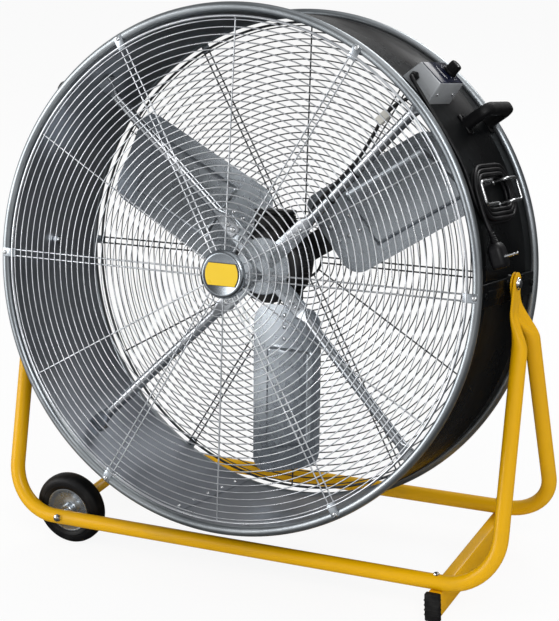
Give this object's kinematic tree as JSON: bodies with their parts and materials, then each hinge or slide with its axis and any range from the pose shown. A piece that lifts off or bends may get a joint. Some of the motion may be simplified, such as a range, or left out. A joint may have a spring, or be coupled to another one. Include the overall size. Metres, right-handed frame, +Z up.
{
  "type": "drum fan",
  "caption": "Large tilting drum fan with wire guards, a wheeled tube stand, a speed control box and a wound mains lead.",
  "frame": {"origin": "on the floor, under the middle of the drum", "axes": "+Z up, +X to the right seen from the front, air leaves the drum towards -Y; the wheels are at -X"},
  "size_m": [1.0881, 0.5298, 1.1188],
  "materials": {
    "yellow_paint": "glossy yellow paint",
    "black_paint": "satin black paint",
    "galvanised": "plain zinc-coated sheet",
    "chrome": "bright plated wire and screws",
    "motor_paint": "dark grey paint",
    "box_paint": "silver-grey paint",
    "black_plastic": "matt",
    "rubber": "matt",
    "tyre_rubber": "matt",
    "panel": "glossy dark overlay",
    "label": "plain yellow plate"
  },
  "bodies": {
    "stand": {"front_frame_tube": "yellow_paint", "rear_frame_tube": "yellow_paint", "floor_bar": "yellow_paint", "foot_cap_front": "rubber", "foot_cap_rear": "rubber", "bar_screw_front": "chrome", "bar_screw_rear": "chrome", "axle_rod": "chrome", "axle_tube": "yellow_paint", "pivot_bolt_right": "chrome", "pivot_bolt_left": "chrome"},
    "drum": {"pivot_plate_right": "black_paint", "pivot_plate_left": "black_paint", "drum_shell": "black_paint", "front_rim": "galvanised", "rear_rim": "galvanised", "front_guard": "chrome", "front_guard_clip_1": "chrome", "front_guard_clip_2": "chrome", "front_guard_clip_3": "chrome", "front_guard_clip_4": "chrome", "front_guard_clip_5": "chrome", "front_guard_clip_6": "chrome", "rear_guard": "galvanised", "rear_guard_clip_1": "chrome", "rear_guard_clip_2": "chrome", "rear_guard_clip_3": "chrome", "rear_guard_clip_4": "chrome", "rear_guard_clip_5": "chrome", "rear_guard_clip_6": "chrome", "badge_disc": "chrome", "badge_label": "label", "motor": "motor_paint", "motor_bracket": "galvanised", "motor_strut_1": "galvanised", "motor_strut_2": "galvanised", "motor_strut_3": "galvanised", "motor_strut_4": "galvanised", "terminal_box": "black_plastic", "control_box": "box_paint", "control_panel": "panel", "cable_gland": "black_plastic", "handle_right": "black_plastic", "handle_left": "black_plastic", "cord_hook_front": "chrome", "cord_hook_rear": "chrome", "cord_coil": "black_plastic", "cord_stretch": "black_plastic", "cord_tail": "black_plastic", "plug": "black_plastic"},
    "impeller": {"impeller_shaft": "chrome", "impeller_hub": "motor_paint", "blade_1": "galvanised", "blade_2": "galvanised", "blade_3": "galvanised"},
    "wheel_front": {"wheel_front_tyre": "tyre_rubber", "wheel_front_rim": "galvanised"},
    "wheel_rear": {"wheel_rear_tyre": "tyre_rubber", "wheel_rear_rim": "galvanised"},
    "knob": {"speed_knob": "black_plastic"}
  },
  "joints": [
    {"name": "drum_tilt", "type": "hinge", "parent": "stand", "child": "drum", "pos_m": [0, 0.00237, 0.6083], "axis": [-1, 0, 0], "range_deg": [-41.4, 78.6]},
    {"name": "impeller_spin", "type": "hinge", "parent": "drum", "child": "impeller", "pos_m": [0, 0, 0.59654], "axis": [0, 0.9803, -0.1977], "continuous": true},
    {"name": "wheel_front_spin", "type": "hinge", "parent": "stand", "child": "wheel_front", "pos_m": [-0.41, -0.13513, 0.075], "axis": [0, 1, 0], "continuous": true},
    {"name": "wheel_rear_spin", "type": "hinge", "parent": "stand", "child": "wheel_rear", "pos_m": [-0.41, 0.13987, 0.075], "axis": [0, 1, 0], "continuous": true},
    {"name": "speed_select", "type": "hinge", "parent": "drum", "child": "knob", "pos_m": [0.37034, 0.05415, 0.98652], "axis": [0.6858, 0.1438, 0.7134], "range_deg": [-135, 0]}
  ]
}
